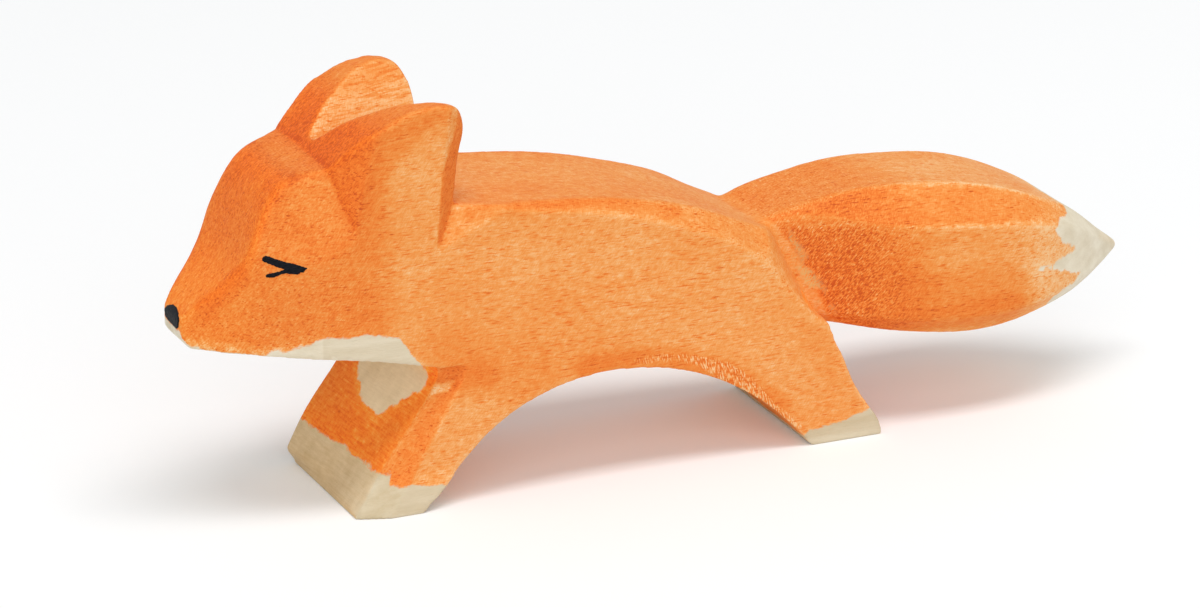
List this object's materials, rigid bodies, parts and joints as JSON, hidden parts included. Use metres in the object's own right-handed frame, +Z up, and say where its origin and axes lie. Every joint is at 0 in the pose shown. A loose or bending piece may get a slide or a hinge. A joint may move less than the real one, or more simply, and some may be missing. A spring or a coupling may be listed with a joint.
{
  "type": "wooden fox figurine",
  "caption": "Running fox carved from one board of wood, stained orange, with bare wood feet and tail tip and a painted nose and closed eyes.",
  "frame": {"origin": "on the ground, midway along the animal and midway through the board it is cut from", "axes": "+X towards the tip of the tail, -X towards the muzzle, +Y towards the animal's right side, +Z up"},
  "size_m": [0.1144, 0.02, 0.0455],
  "materials": {
    "stained_wood": "pale close-grained wood with a matt orange watercolour stain",
    "black_paint": "matt black brush paint"
  },
  "bodies": {
    "root": {"carved_body": "stained_wood", "nose_paint": "black_paint", "left_eye_paint": "black_paint", "right_eye_paint": "black_paint"}
  },
  "joints": []
}
